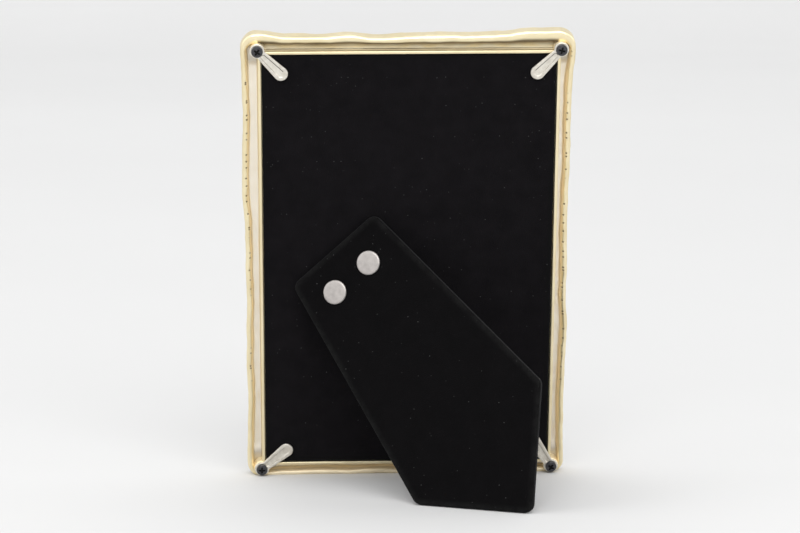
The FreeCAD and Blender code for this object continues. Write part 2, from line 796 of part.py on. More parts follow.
def assemble():
    """Build every sub-part and give each its Placement; returns them in order."""
    upright = upright_placement()
    hinge = hinge_placement()
    leg = hinge * turn(X_AXIS, value("Sheet.leg_opening"))
    placed = []

    for make in (frame_casting, glass_pane, photo_print, backing_card, backboard_lining,
                 backboard_core, backboard_velvet):
        placed.append((make(), upright))

    for across, up in corner_signs():
        corner = ("top" if up > 0 else "bottom") + ("_right" if across > 0 else "_left")
        seat = screw_placement(across, up)
        placed.append((corner_screw("corner_screw_" + corner), seat))
        # each arm lies over the board
        turned_by = value("Sheet.turned_" + corner)
        placed.append((turn_button("turn_button_" + corner), seat * turn(Y_AXIS, turned_by)))

    placed.append((hinge_fixed_leaf(), hinge))
    placed.append((hinge_pin(), hinge))
    tack_seat = -value("Sheet.pin_height")
    for name, side in (("right", 1), ("left", -1)):
        seat = hinge * shift(side * value("Sheet.tack_spread"), tack_seat, -value("Sheet.rivet_drop"))
        placed.append((hinge_tack("hinge_tack_" + name), seat))

    for make in (hinge_moving_leaf, leg_lining, leg_core, leg_velvet):
        placed.append((make(), leg))
    for name, side in (("lower", 1), ("upper", -1)):
        seat = leg * shift(side * value("Sheet.rivet_spread"), 0, -value("Sheet.rivet_drop"))
        placed.append((leg_rivet("leg_rivet_" + name), seat))
    return placed


def centre_on_origin(placed):
    """Place the parts so that the origin is under the middle of the whole object's box."""
    box = FreeCAD.BoundBox()
    for item, placement in placed:
        item.Placement = placement
    doc.recompute()
    for item, placement in placed:
        shape = item.Shape.copy()
        box.add(shape.optimalBoundingBox(False, False))
    middle = shift(-box.Center.x, -box.Center.y, 0)
    for item, placement in placed:
        item.Placement = middle * placement
    doc.recompute()
    return middle


def check_and_write(placed):
    for item in doc.Objects:
        if "Invalid" in item.State or "Error" in item.State:
            raise RuntimeError("failed object: " + item.Name)
    for item, placement in placed:
        if item.Shape.isNull() or not item.Shape.isValid():
            raise RuntimeError("bad shape: " + item.Label)
    os.makedirs("parts", exist_ok=True)
    for item, placement in placed:
        item.Shape.exportStep("parts/%s.step" % item.Label)


def print_interfaces(middle):
    """Print the joint axes and the land, which the record states, in millimetres."""
    hinge = middle * hinge_placement()
    print("leg pin", hinge.Base, "axis", hinge.Rotation.multVec(-X_AXIS))
    print("leg opening", value("Sheet.leg_opening"))
    for across, up in corner_signs():
        seat = middle * screw_placement(across, up)
        print("screw", across, up, seat.Base, "axis", seat.Rotation.multVec(Y_AXIS))
    print("land height", value("Sheet.land_height"), "foot reach", value("Sheet.leg_foot_reach"))


placed_parts = assemble()
offset = centre_on_origin(placed_parts)
check_and_write(placed_parts)
print_interfaces(offset)
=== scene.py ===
"""Looks for an easel-back photo frame: gold casting, velvet backboard and leg, turn buttons."""

import json
import math

import bmesh
import bpy
from mathutils import Matrix, Vector, noise


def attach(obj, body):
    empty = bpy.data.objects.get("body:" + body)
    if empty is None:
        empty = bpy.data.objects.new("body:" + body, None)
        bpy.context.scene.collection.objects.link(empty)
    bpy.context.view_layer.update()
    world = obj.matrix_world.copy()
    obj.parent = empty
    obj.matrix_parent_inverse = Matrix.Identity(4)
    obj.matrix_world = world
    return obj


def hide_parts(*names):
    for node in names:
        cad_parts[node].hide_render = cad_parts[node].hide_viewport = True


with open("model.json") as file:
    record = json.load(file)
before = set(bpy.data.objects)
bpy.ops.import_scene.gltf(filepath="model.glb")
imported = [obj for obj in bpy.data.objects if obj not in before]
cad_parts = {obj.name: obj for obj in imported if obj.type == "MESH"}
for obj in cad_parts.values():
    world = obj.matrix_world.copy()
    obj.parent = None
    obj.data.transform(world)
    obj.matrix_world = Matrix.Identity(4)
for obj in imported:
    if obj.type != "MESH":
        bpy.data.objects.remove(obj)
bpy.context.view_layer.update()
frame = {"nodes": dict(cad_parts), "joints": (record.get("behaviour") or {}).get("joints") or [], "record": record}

# ---------------------------------------------------------------- sizes, in millimetres

# the upright frame: X across, Y towards the back from the board's rear face, Z up
FRAME_LEAN = 12.0
OPENING_WIDTH = 103.0
OPENING_HEIGHT = 154.0
LIP_OVERLAP = 3.7
FRONT_FACE = -8.0
GLASS_FRONT = -6.0
CHANNEL_FLOOR = -5.5
INNER_WALL = 1.1
WALL_TOP = 0.1
RIM_INSIDE = 3.6
RIM_OUTSIDE = 5.8
RIM_ROUND = 1.0
RIM_CREST = -1.0
OUTER_CORNER = 4.6
FRONT_ROUND = 1.4

SCREW_ACROSS = 52.7
SCREW_UP = 78.9
SCREW_DROP = 0.4
BOSS_RADIUS = 2.4
BOSS_TOP = 0.15

BOARD_WIDTH = 102.4
BOARD_HEIGHT = 153.4
BOARD_THICK = 3.0
VELVET_THICK = 0.4

HINGE_MIDDLE = Vector((23.83, 1.1, 1.7))
LEG_LEAN = 43.0
LEG_FLARE_LOW = 8.1
LEG_FLARE_HIGH = 6.7
LEG_TOP_WIDTH = 39.44
LEG_TOP_OFFSET = 0.73
HINGE_INSET = 3.95
LEG_SIDE_REACH = 77.43
LEG_FOOT_REACH = 83.9056
LEG_CORNER = 3.2
LEG_INNER = 1.25
LEG_OUTER = 3.45
RIVET_SPREAD = 8.05
RIVET_DROP = 8.45
RIVET_RADIUS = 4.35
RIVET_SHANK = 1.3
RIVET_TAIL = 1.8

BUTTON_UNDER = 0.1
BUTTON_THICK = 0.8
BUTTON_HEAD = 2.6
BUTTON_BORE = 1.35
BUTTON_NECK = 1.55
BUTTON_TIP = 2.5
BUTTON_REACH = 11.5
HEAD_UNDERSIDE = 1.0
HEAD_RADIUS = 2.0
HEAD_HEIGHT = 1.3
SCREW_COLLAR = 1.3
SCREW_SHANK = 1.0
SCREW_LENGTH = 4.5
# how each button is left turned, from its arm pointing straight down
BUTTON_TURNS = {"top_right": 45.0, "top_left": -44.8, "bottom_right": 130.0, "bottom_left": -146.5}

# the casting's bars, counted from the +X side: the top and the bottom one
TOP = 1
BOTTOM = 3
CAST_STEP = 0.8
# how much shallower the top bar's channel is, and how far its rim bulges into the channel
TOP_CHANNEL_RISE = 2.0
TOP_RIM_BULGE = 0.7

# sideways wander of the rim's hand-cast bar, outwards, at even steps along each side; the top's and
# the two sides' are set to the nearest 0.05 from measured differences between the drawn outline and
# the one in the photo, and the bottom's are made up
WANDER = [
    # +X side, bottom to top
    [0.55, 0.5, 0.05, 0.5, 0.3, 0.0, 0.35, 0.4, 1.2, 1.0, 0.7, 0.85, 1.3],
    # top, from +X to -X
    [1.3, 0.0, -0.2, 0.5, -0.55, 0.1, 0.35, 0.15, 0.45, 1.65, 1.7],
    # -X side, top to bottom
    [0.6, -0.35, -0.55, -0.35, -0.65, -0.8, -0.45, -0.5, 0.25, -0.2, -0.4, -0.2, 0.0],
    # bottom, from -X to +X
    [0.0, 0.1, -0.2, 0.1, -0.15, 0.1, -0.2, 0.1, -0.15, 0.2, 0.4],
]


# ---------------------------------------------------------------- places

def upright_place():
    """From the upright frame's millimetres to the standing object's metres."""
    turn = Matrix.Rotation(math.radians(-FRAME_LEAN), 4, "X")
    pin = next(joint for joint in frame["joints"] if joint["name"] == "leg_hinge")["pos_m"]
    shift = Matrix.Translation(Vector(pin) * 1000 - turn @ HINGE_MIDDLE)
    return Matrix.Scale(0.001, 4) @ shift @ turn


def leg_place():
    """From the open leg's millimetres, with the pin along X, to metres."""
    opening = 2 * math.atan(math.tan(math.radians(FRAME_LEAN)) / math.cos(math.radians(LEG_LEAN)))
    slant = Matrix.Rotation(math.radians(LEG_LEAN), 4, "Y")
    return UPRIGHT @ Matrix.Translation(HINGE_MIDDLE) @ slant @ Matrix.Rotation(opening, 4, "X")


def corner_place(corner):
    """From a corner screw's millimetres, with the button's arm along -Z, to metres."""
    across, up = CORNERS[corner]
    seat = Matrix.Translation((across * SCREW_ACROSS, BOSS_TOP, up * SCREW_UP - SCREW_DROP))
    return UPRIGHT @ seat @ Matrix.Rotation(math.radians(BUTTON_TURNS[corner]), 4, "Y")


UPRIGHT = upright_place()
LEG = leg_place()
CORNERS = {"top_right": (1, 1), "top_left": (-1, 1), "bottom_right": (1, -1), "bottom_left": (-1, -1)}


# ---------------------------------------------------------------- mesh helpers

def arc(centre, radius, start, end, steps):
    """Points on a round stretch, angles in degrees, without the last point."""
    points = []
    for step in range(steps):
        angle = math.radians(start + (end - start) * step / steps)
        points.append((centre[0] + radius * math.cos(angle), centre[1] + radius * math.sin(angle)))
    return points


def line(start, end, steps):
    """Points on a straight stretch, without the last point."""
    points = []
    for step in range(steps):
        share = step / steps
        points.append((start[0] + (end[0] - start[0]) * share, start[1] + (end[1] - start[1]) * share))
    return points


def crossing(first, second):
    """Where two lines meet, each given by its outward angle in degrees and its distance."""
    angle_a, angle_b = math.radians(first[0]), math.radians(second[0])
    spread = math.sin(angle_b - angle_a)
    x = (first[1] * math.sin(angle_b) - second[1] * math.sin(angle_a)) / spread
    z = (second[1] * math.cos(angle_a) - first[1] * math.cos(angle_b)) / spread
    return x, z


def rounded_loop(edges, radius, straight_steps, arc_steps):
    """Loop round a polygon with rounded corners, as (x, z, outward angle, side, share of side).

    Each edge is its outward angle and its distance from the origin, counter-clockwise."""
    count = len(edges)
    centres = []
    for index in range(count):
        angle, distance = edges[index]
        next_angle, next_distance = edges[(index + 1) % count]
        centres.append(crossing((angle, distance - radius), (next_angle, next_distance - radius)))
    loop = []
    for index in range(count):
        angle = edges[index][0]
        turn = (edges[(index + 1) % count][0] - angle) % 360
        reach = (radius * math.cos(math.radians(angle)), radius * math.sin(math.radians(angle)))
        start, end = centres[index - 1], centres[index]
        steps = straight_steps[index]
        first = (start[0] + reach[0], start[1] + reach[1])
        last = (end[0] + reach[0], end[1] + reach[1])
        for step, (x, z) in enumerate(line(first, last, steps)):
            loop.append((x, z, angle, index, step / steps))
        for step, (x, z) in enumerate(arc(end, radius, angle, angle + turn, arc_steps)):
            loop.append((x, z, angle + turn * step / arc_steps, index, 1 + step / arc_steps))
    return loop


def bridge(first, second, count):
    """Quads between two loops of the same length, given by the number of their first points."""
    return [(first + i, first + (i + 1) % count, second + (i + 1) % count, second + i) for i in range(count)]


def make_piece(name, points, faces, place, material, body, sharp=38.0):
    """One closed mesh, put in its place and joined to the body it moves with."""
    mesh = bpy.data.meshes.new(name)
    mesh.from_pydata([place @ Vector(point) for point in points], [], faces)
    shape = bmesh.new()
    shape.from_mesh(mesh)
    bmesh.ops.recalc_face_normals(shape, faces=shape.faces)
    shape.to_mesh(mesh)
    shape.free()
    mesh.shade_smooth()
    mesh.set_sharp_from_angle(angle=math.radians(sharp))
    mesh.materials.append(material)
    piece = bpy.data.objects.new(name, mesh)
    bpy.context.scene.collection.objects.link(piece)
    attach(piece, body)
    return piece


def turned_piece(name, profile, steps, place, material, body, relief):
    """Revolve a profile of (radius, height) about the local Y axis; its ends lie on the axis.

    The relief is added to the height of each point off the axis."""
    points = [(0, profile[0][1], 0)]
    for radius, height in profile[1:-1]:
        for step in range(steps):
            angle = 2 * math.pi * step / steps
            x, z = radius * math.cos(angle), radius * math.sin(angle)
            points.append((x, height + relief(x, z, height), z))
    points.append((0, profile[-1][1], 0))
    rings = len(profile) - 2
    last = len(points) - 1
    faces = [(0, 1 + i, 1 + (i + 1) % steps) for i in range(steps)]
    for ring in range(rings - 1):
        faces += bridge(1 + ring * steps, 1 + (ring + 1) * steps, steps)
    start = 1 + (rings - 1) * steps
    faces += [(last, start + (i + 1) % steps, start + i) for i in range(steps)]
    return make_piece(name, points, faces, place, material, body)


# ---------------------------------------------------------------- material helpers

def new_material(name):
    material = bpy.data.materials.new(name)
    material.use_nodes = True
    return material, material.node_tree, material.node_tree.nodes["Principled BSDF"]


def surface_point(tree):
    return tree.nodes.new("ShaderNodeTexCoord").outputs["Object"]


def noise_field(tree, scale, detail=3.0, roughness=0.55, stretch=None):
    """A noise over the object's own metres; stretch scales it along X, Y and Z."""
    point = surface_point(tree)
    if stretch:
        mapping = tree.nodes.new("ShaderNodeMapping")
        mapping.inputs["Scale"].default_value = stretch
        tree.links.new(point, mapping.inputs["Vector"])
        point = mapping.outputs["Vector"]
    field = tree.nodes.new("ShaderNodeTexNoise")
    field.inputs["Scale"].default_value = scale
    field.inputs["Detail"].default_value = detail
    field.inputs["Roughness"].default_value = roughness
    tree.links.new(point, field.inputs["Vector"])
    return field.outputs["Fac"]


def ramp(tree, source, stops):
    """A colour ramp over (position, colour or grey) stops."""
    node = tree.nodes.new("ShaderNodeValToRGB")
    elements = node.color_ramp.elements
    while len(elements) < len(stops):
        elements.new(0.5)
    for element, (position, colour) in zip(elements, stops):
        element.position = position
        element.color = (*colour, 1) if hasattr(colour, "__len__") else (colour, colour, colour, 1)
    tree.links.new(source, node.inputs["Fac"])
    return node.outputs["Color"]


def mix(tree, share, low, high):
    """Blend two colours by a share; each is a socket or a plain colour."""
    node = tree.nodes.new("ShaderNodeMix")
    node.data_type = "RGBA"
    tree.links.new(share, node.inputs["Factor"])
    for socket, source in ((node.inputs[6], low), (node.inputs[7], high)):
        if isinstance(source, bpy.types.NodeSocket):
            tree.links.new(source, socket)
        else:
            socket.default_value = (*source, 1)
    return node.outputs[2]


def attribute(tree, name):
    node = tree.nodes.new("ShaderNodeAttribute")
    node.attribute_name = name
    return node.outputs["Fac"]


def combine(tree, operation, first, second):
    node = tree.nodes.new("ShaderNodeMath")
    node.operation = operation
    for socket, source in zip(node.inputs, (first, second)):
        if isinstance(source, bpy.types.NodeSocket):
            tree.links.new(source, socket)
        else:
            socket.default_value = source
    return node.outputs[0]


def add_bump(tree, shader, layers):
    """Chain bumps of (height, strength, depth in metres) into the shader's normal."""
    normal = None
    for height, strength, depth in layers:
        node = tree.nodes.new("ShaderNodeBump")
        node.inputs["Strength"].default_value = strength
        node.inputs["Distance"].default_value = depth
        tree.links.new(height, node.inputs["Height"])
        if normal:
            tree.links.new(normal, node.inputs["Normal"])
        normal = node.outputs["Normal"]
    tree.links.new(normal, shader.inputs["Normal"])


# ---------------------------------------------------------------- materials

def gold_plate():
    """Bright gold plate over an uneven casting, with small sand pits along the side bars' crests."""
    material, tree, shader = new_material("gold_plate")
    plated = ramp(tree, attribute(tree, "dullness"), [(0.0, 1.0), (1.0, 0.35)])
    tree.links.new(plated, shader.inputs["Metallic"])
    tone = ramp(tree, noise_field(tree, 90, 4), [(0.3, (0.80, 0.69, 0.44)), (0.7, (0.89, 0.79, 0.54))])
    # painted reflection: the channel floor turns pale, standing in for the bright surroundings it reflects
    tone = mix(tree, attribute(tree, "paleness"), tone, (0.88, 0.84, 0.76))
    tone = mix(tree, attribute(tree, "dullness"), tone, (0.98, 0.85, 0.60))
    # painted shade: the gold turns deep brown where the casting's shade field is set
    tone = mix(tree, attribute(tree, "painted_shade"), tone, (0.15, 0.12, 0.08))
    pits = pit_mask(tree)
    tree.links.new(mix(tree, pits, tone, (0.16, 0.12, 0.07)), shader.inputs["Base Color"])
    gloss = ramp(tree, noise_field(tree, 400, 5), [(0.3, 0.33), (0.75, 0.46)])
    gloss = mix(tree, attribute(tree, "dullness"), gloss, (0.45, 0.45, 0.45))
    tree.links.new(gloss, shader.inputs["Roughness"])
    add_bump(tree, shader, [
        (noise_field(tree, 260, 3), 0.35, 0.0004),
        (noise_field(tree, 2200, 3), 0.06, 0.00006),
        (combine(tree, "SUBTRACT", 1.0, pits), 0.8, 0.0002),
    ])
    return material


def pit_mask(tree):
    """1 inside a pit: irregular steps along the bar, a small distance off its crest line."""
    along = attribute(tree, "rim_along")
    across = combine(tree, "ADD", attribute(tree, "off_crest"), 0.45)
    cells = tree.nodes.new("ShaderNodeTexVoronoi")
    cells.voronoi_dimensions = "1D"
    cells.inputs["Scale"].default_value = 0.30
    tree.links.new(along, cells.inputs["W"])
    step = combine(tree, "MULTIPLY", cells.outputs["Distance"], 3.3)
    square = combine(tree, "ADD", combine(tree, "POWER", step, 2.0),
                     combine(tree, "POWER", across, 2.0))
    dot = ramp(tree, combine(tree, "SQRT", square, 0.0), [(0.16, 1.0), (0.42, 0.0)])
    patch = ramp(tree, noise_field(tree, 38, 1), [(0.44, 0.0), (0.50, 1.0)])
    return combine(tree, "MULTIPLY", dot, combine(tree, "MULTIPLY", patch, attribute(tree, "on_crest")))


def black_velvet(name, depth, wear_and_sheen):
    """Short black pile: nearly black face on, with painted sheen that makes it paler at a slant, paler on its
    rubbed edges, with lint.
    """
    material, tree, shader = new_material(name)
    nap = noise_field(tree, 150, 5)
    dark = (0.0026 * depth, 0.0022 * depth, 0.0028 * depth)
    pale = (0.0048 * depth, 0.0041 * depth, 0.0050 * depth)
    tone = ramp(tree, nap, [(0.3, dark), (0.7, pale)])
    # painted sheen: the pile's colour turns paler where it is seen at a slant
    slant = tree.nodes.new("ShaderNodeLayerWeight")
    slant.inputs["Blend"].default_value = 0.5
    painted_sheen = ramp(tree, slant.outputs["Facing"], [(0.45, 0.0), (0.8, 1.0)])
    tone = mix(tree, painted_sheen, tone, (wear_and_sheen, wear_and_sheen, wear_and_sheen))
    scuffs = ramp(tree, noise_field(tree, 320, 5, 0.7), [(0.35, 0.2), (0.65, 1.0)])
    rubbed = combine(tree, "MULTIPLY", attribute(tree, "edge_wear"), scuffs)
    tone = mix(tree, rubbed, tone, (0.42 * wear_and_sheen, 0.42 * wear_and_sheen, 0.42 * wear_and_sheen))
    tree.links.new(mix(tree, lint_mask(tree), tone, (0.07, 0.07, 0.07)), shader.inputs["Base Color"])
    shader.inputs["Roughness"].default_value = 0.95
    shader.inputs["Specular IOR Level"].default_value = 0.1
    shader.inputs["Sheen Weight"].default_value = 0.05 * depth
    shader.inputs["Sheen Roughness"].default_value = 0.4
    shader.inputs["Sheen Tint"].default_value = (0.9, 0.9, 1.0, 1)
    add_bump(tree, shader, [(noise_field(tree, 5000, 2, 0.7), 0.7, 0.0003), (nap, 0.2, 0.0004)])
    return material


def lint_mask(tree):
    """A few tiny pale specks of lint caught in the pile."""
    cells = tree.nodes.new("ShaderNodeTexVoronoi")
    cells.inputs["Scale"].default_value = 480
    tree.links.new(surface_point(tree), cells.inputs["Vector"])
    speck = ramp(tree, cells.outputs["Distance"], [(0.05, 1.0), (0.09, 0.0)])
    chosen = ramp(tree, cells.outputs["Color"], [(0.42, 0.0), (0.75, 1.0)])
    return combine(tree, "MULTIPLY", speck, chosen)


def nickel_plate():
    """Satin nickel plate on stamped steel, with fine grain, faint handling marks and a painted shade line in the
    button's trough.
    """
    material, tree, shader = new_material("nickel_plate")
    shader.inputs["Metallic"].default_value = 1.0
    tone = ramp(tree, noise_field(tree, 700, 5), [(0.3, (0.62, 0.58, 0.51)), (0.7, (0.78, 0.75, 0.68))])
    # painted shade: the trough's wall that faces down at rest is drawn near black
    tone = mix(tree, attribute(tree, "crease"), tone, (0.030, 0.024, 0.018))
    tree.links.new(tone, shader.inputs["Base Color"])
    gloss = ramp(tree, noise_field(tree, 1500, 4), [(0.3, 0.36), (0.7, 0.50)])
    tree.links.new(gloss, shader.inputs["Roughness"])
    add_bump(tree, shader, [(noise_field(tree, 6000, 2), 0.25, 0.00005)])
    return material


def rivet_nickel():
    """Dull tumbled nickel with small dents."""
    material, tree, shader = new_material("rivet_nickel")
    shader.inputs["Metallic"].default_value = 1.0
    tone = ramp(tree, noise_field(tree, 500, 5), [(0.3, (0.40, 0.375, 0.36)), (0.7, (0.50, 0.47, 0.45))])
    tree.links.new(tone, shader.inputs["Base Color"])
    gloss = ramp(tree, noise_field(tree, 1300, 4), [(0.3, 0.38), (0.7, 0.55)])
    tree.links.new(gloss, shader.inputs["Roughness"])
    add_bump(tree, shader, [(noise_field(tree, 900, 4), 0.3, 0.0001)])
    return material


def black_screw():
    """Black oxide on steel, slightly glossy, with painted shade deep in the recess."""
    material, tree, shader = new_material("black_screw")
    dark, pale = (0.036, 0.036, 0.040), (0.070, 0.070, 0.075)
    tone = ramp(tree, noise_field(tree, 1500, 4), [(0.35, dark), (0.7, pale)])
    # painted shade: near black deep in the recess, where the light hardly reaches
    tone = mix(tree, attribute(tree, "recess"), tone, (0.004, 0.004, 0.004))
    tree.links.new(tone, shader.inputs["Base Color"])
    gloss = ramp(tree, noise_field(tree, 2500, 3), [(0.3, 0.28), (0.7, 0.42)])
    tree.links.new(gloss, shader.inputs["Roughness"])
    shader.inputs["Metallic"].default_value = 0.6
    add_bump(tree, shader, [(noise_field(tree, 4000, 2), 0.2, 0.00005)])
    return material


def hinge_steel():
    """Plain zinc-plated steel strip."""
    material, tree, shader = new_material("hinge_steel")
    shader.inputs["Metallic"].default_value = 1.0
    tone = ramp(tree, noise_field(tree, 400, 5), [(0.3, (0.28, 0.28, 0.28)), (0.7, (0.45, 0.44, 0.43))])
    tree.links.new(tone, shader.inputs["Base Color"])
    gloss = ramp(tree, noise_field(tree, 900, 4, 0.6, (1, 1, 6)), [(0.3, 0.30), (0.7, 0.50)])
    tree.links.new(gloss, shader.inputs["Roughness"])
    add_bump(tree, shader, [(noise_field(tree, 2000, 3, 0.6, (1, 1, 6)), 0.2, 0.00005)])
    return material


def hardboard():
    """Brown pressed fibres."""
    material, tree, shader = new_material("hardboard")
    dark, pale = (0.06, 0.035, 0.018), (0.17, 0.10, 0.055)
    tone = ramp(tree, noise_field(tree, 1800, 6, 0.7), [(0.3, dark), (0.7, pale)])
    tree.links.new(tone, shader.inputs["Base Color"])
    gloss = ramp(tree, noise_field(tree, 900, 4), [(0.3, 0.6), (0.7, 0.8)])
    tree.links.new(gloss, shader.inputs["Roughness"])
    add_bump(tree, shader, [(noise_field(tree, 2600, 5, 0.7), 0.5, 0.0002)])
    return material


def lining_paper():
    """Black paper glued over the board's front and the leg's inner face."""
    material, tree, shader = new_material("lining_paper")
    dark, pale = (0.008, 0.008, 0.009), (0.022, 0.022, 0.023)
    tone = ramp(tree, noise_field(tree, 1200, 6, 0.7), [(0.3, dark), (0.7, pale)])
    tree.links.new(tone, shader.inputs["Base Color"])
    gloss = ramp(tree, noise_field(tree, 500, 4), [(0.3, 0.7), (0.7, 0.85)])
    tree.links.new(gloss, shader.inputs["Roughness"])
    add_bump(tree, shader, [(noise_field(tree, 2400, 5, 0.7), 0.35, 0.0001)])
    return material


def backing_card():
    """Grey-brown card with short fibres."""
    material, tree, shader = new_material("card")
    dark, pale = (0.22, 0.17, 0.12), (0.36, 0.29, 0.21)
    tone = ramp(tree, noise_field(tree, 1500, 6, 0.75), [(0.3, dark), (0.7, pale)])
    tree.links.new(tone, shader.inputs["Base Color"])
    gloss = ramp(tree, noise_field(tree, 700, 4), [(0.3, 0.75), (0.7, 0.9)])
    tree.links.new(gloss, shader.inputs["Roughness"])
    add_bump(tree, shader, [(noise_field(tree, 2400, 5, 0.7), 0.4, 0.0001)])
    return material


def picture_glass():
    """Clear glass with faint wipe marks."""
    material, tree, shader = new_material("glass")
    shader.inputs["Base Color"].default_value = (0.97, 0.99, 0.98, 1)
    shader.inputs["Transmission Weight"].default_value = 1.0
    shader.inputs["IOR"].default_value = 1.5
    shader.inputs["Alpha"].default_value = 0.45
    gloss = ramp(tree, noise_field(tree, 25, 4, 0.6, (1, 1, 3)), [(0.45, 0.0), (0.8, 0.035)])
    tree.links.new(gloss, shader.inputs["Roughness"])
    return material


def print_paper():
    """A generic satin print: soft hills under an evening sky."""
    material, tree, shader = new_material("print_paper")
    position = tree.nodes.new("ShaderNodeSeparateXYZ")
    tree.links.new(surface_point(tree), position.inputs["Vector"])
    ripple = combine(tree, "MULTIPLY", noise_field(tree, 22, 4, 0.5, (1, 1, 0.15)), 0.06)
    height = combine(tree, "MULTIPLY", combine(tree, "ADD", position.outputs["Z"], ripple), 6.0)
    tone = ramp(tree, height, [
        (0.00, (0.05, 0.09, 0.06)), (0.28, (0.10, 0.17, 0.09)), (0.30, (0.17, 0.24, 0.16)),
        (0.46, (0.26, 0.33, 0.30)), (0.48, (0.38, 0.44, 0.46)), (0.62, (0.55, 0.58, 0.60)),
        (0.64, (0.80, 0.66, 0.50)), (0.80, (0.70, 0.68, 0.66)), (1.00, (0.42, 0.52, 0.64)),
    ])
    tree.links.new(tone, shader.inputs["Base Color"])
    gloss = ramp(tree, noise_field(tree, 900, 4), [(0.3, 0.32), (0.7, 0.42)])
    tree.links.new(gloss, shader.inputs["Roughness"])
    add_bump(tree, shader, [(noise_field(tree, 1500, 4), 0.1, 0.00005)])
    return material


def studio_paper():
    """Pale, slightly mottled backdrop paper that is graded lighter away from the object."""
    material, tree, shader = new_material("studio_paper")
    position = tree.nodes.new("ShaderNodeSeparateXYZ")
    tree.links.new(surface_point(tree), position.inputs["Vector"])
    distance = combine(tree, "MULTIPLY", combine(tree, "ABSOLUTE", position.outputs["Y"], 0.0), 1 / 2.8)
    graded = ramp(tree, distance, [(0.07, 0.61), (0.25, 0.685), (0.5, 0.785), (1.0, 0.875)])
    mottle = ramp(tree, noise_field(tree, 3, 3), [(0.3, 0.985), (0.7, 1.0)])
    shade = tree.nodes.new("ShaderNodeVectorMath")
    shade.operation = "MULTIPLY"
    tree.links.new(graded, shade.inputs[0])
    tree.links.new(mottle, shade.inputs[1])
    tree.links.new(shade.outputs["Vector"], shader.inputs["Base Color"])
    shader.inputs["Roughness"].default_value = 0.7
    shader.inputs["Specular IOR Level"].default_value = 0.25
    return material


MATERIALS = {
    "gold_plate": gold_plate(),
    "black_velvet": black_velvet("black_velvet", 1.0, 0.006),
    "nickel_plate": nickel_plate(),
    "rivet_nickel": rivet_nickel(),
    "black_screw": black_screw(),
    "hinge_steel": hinge_steel(),
    "hardboard": hardboard(),
    "lining_paper": lining_paper(),
    "card": backing_card(),
    "glass": picture_glass(),
    "print_paper": print_paper(),
}


def dress_cad_nodes():
    """Give every CAD node the material of its own slot in the record."""
    for part in frame["record"]["subparts"]:
        mesh = frame["nodes"][part["node"]].data
        if not mesh.materials:
            mesh.materials.append(None)
        for index in range(len(mesh.materials)):
            mesh.materials[index] = MATERIALS[part["material_slot"]]


# ---------------------------------------------------------------- cast frame

def casting_section():
    """The casting's closed section as (outwards from the opening, depth)."""
    rim_centre = RIM_CREST - RIM_ROUND
    section = line((-LIP_OVERLAP, GLASS_FRONT), (-LIP_OVERLAP, FRONT_FACE + 0.6), 2)
    section += arc((-LIP_OVERLAP + 0.6, FRONT_FACE + 0.6), 0.6, 180, 270, 4)
    section += line((-LIP_OVERLAP + 0.6, FRONT_FACE), (RIM_OUTSIDE - FRONT_ROUND, FRONT_FACE), 8)
    section += arc((RIM_OUTSIDE - FRONT_ROUND, FRONT_FACE + FRONT_ROUND), FRONT_ROUND, 270, 360, 8)
    section += line((RIM_OUTSIDE, FRONT_FACE + FRONT_ROUND), (RIM_OUTSIDE, rim_centre), 6)
    section += arc((RIM_OUTSIDE - RIM_ROUND, rim_centre), RIM_ROUND, 0, 160, 16)
    cove = 0.5
    flank_top = (RIM_OUTSIDE - 1.94 * RIM_ROUND, rim_centre + 0.34 * RIM_ROUND)
    section += line(flank_top, (RIM_INSIDE, CHANNEL_FLOOR + cove), 5)
    section += arc((RIM_INSIDE - cove, CHANNEL_FLOOR + cove), cove, 0, -90, 5)
    section += line((RIM_INSIDE - cove, CHANNEL_FLOOR), (INNER_WALL + cove, CHANNEL_FLOOR), 3)
    section += arc((INNER_WALL + cove, CHANNEL_FLOOR + cove), cove, 270, 180, 5)
    section += line((INNER_WALL, CHANNEL_FLOOR + cove), (INNER_WALL, WALL_TOP - 0.3), 5)
    section += arc((INNER_WALL - 0.3, WALL_TOP - 0.3), 0.3, 0, 90, 4)
    section += arc((0.25, WALL_TOP - 0.25), 0.25, 90, 180, 3)
    section += line((0, WALL_TOP - 0.25), (0, GLASS_FRONT), 3)
    section += line((0, GLASS_FRONT), (-LIP_OVERLAP, GLASS_FRONT), 2)
    return section


def smooth_step(low, high, value):
    share = min(1.0, max(0.0, (value - low) / (high - low)))
    return share * share * (3 - 2 * share)


def wander_at(side, share):
    """How far the rim strays outwards there; past a share of 1 lies the corner to the next side."""
    steps = WANDER[side]
    if share >= 1:
        following = WANDER[(side + 1) % 4][0]
        return steps[-1] + (following - steps[-1]) * (share - 1)
    place = share * (len(steps) - 1)
    index = int(place)
    return steps[index] + (steps[index + 1] - steps[index]) * smooth_step(0, 1, place - index)


def inner_follow(side, share):
    """How far the channel side of the bar follows its outer side: the top bar only thickens."""
    round_corner = smooth_step(1.0, 2.0, share)
    if side == 0:
        return 1 - 0.8 * round_corner
    if side == TOP:
        return 0.2 + 0.8 * round_corner
    return 1.0


def near_corner(side, share):
    """1 round a corner of the frame, where the channel is shallower, 0 along the bars."""
    length = OPENING_WIDTH if side % 2 else OPENING_HEIGHT
    return smooth_step(6.0, 2.5, length * min(share, max(0, 1 - share)))


def in_channel(outwards, depth):
    """Whether a point of the section lies on the channel's floor or on one of its walls."""
    return INNER_WALL - 0.1 < outwards < RIM_INSIDE + 0.1 and depth > CHANNEL_FLOOR - 0.1


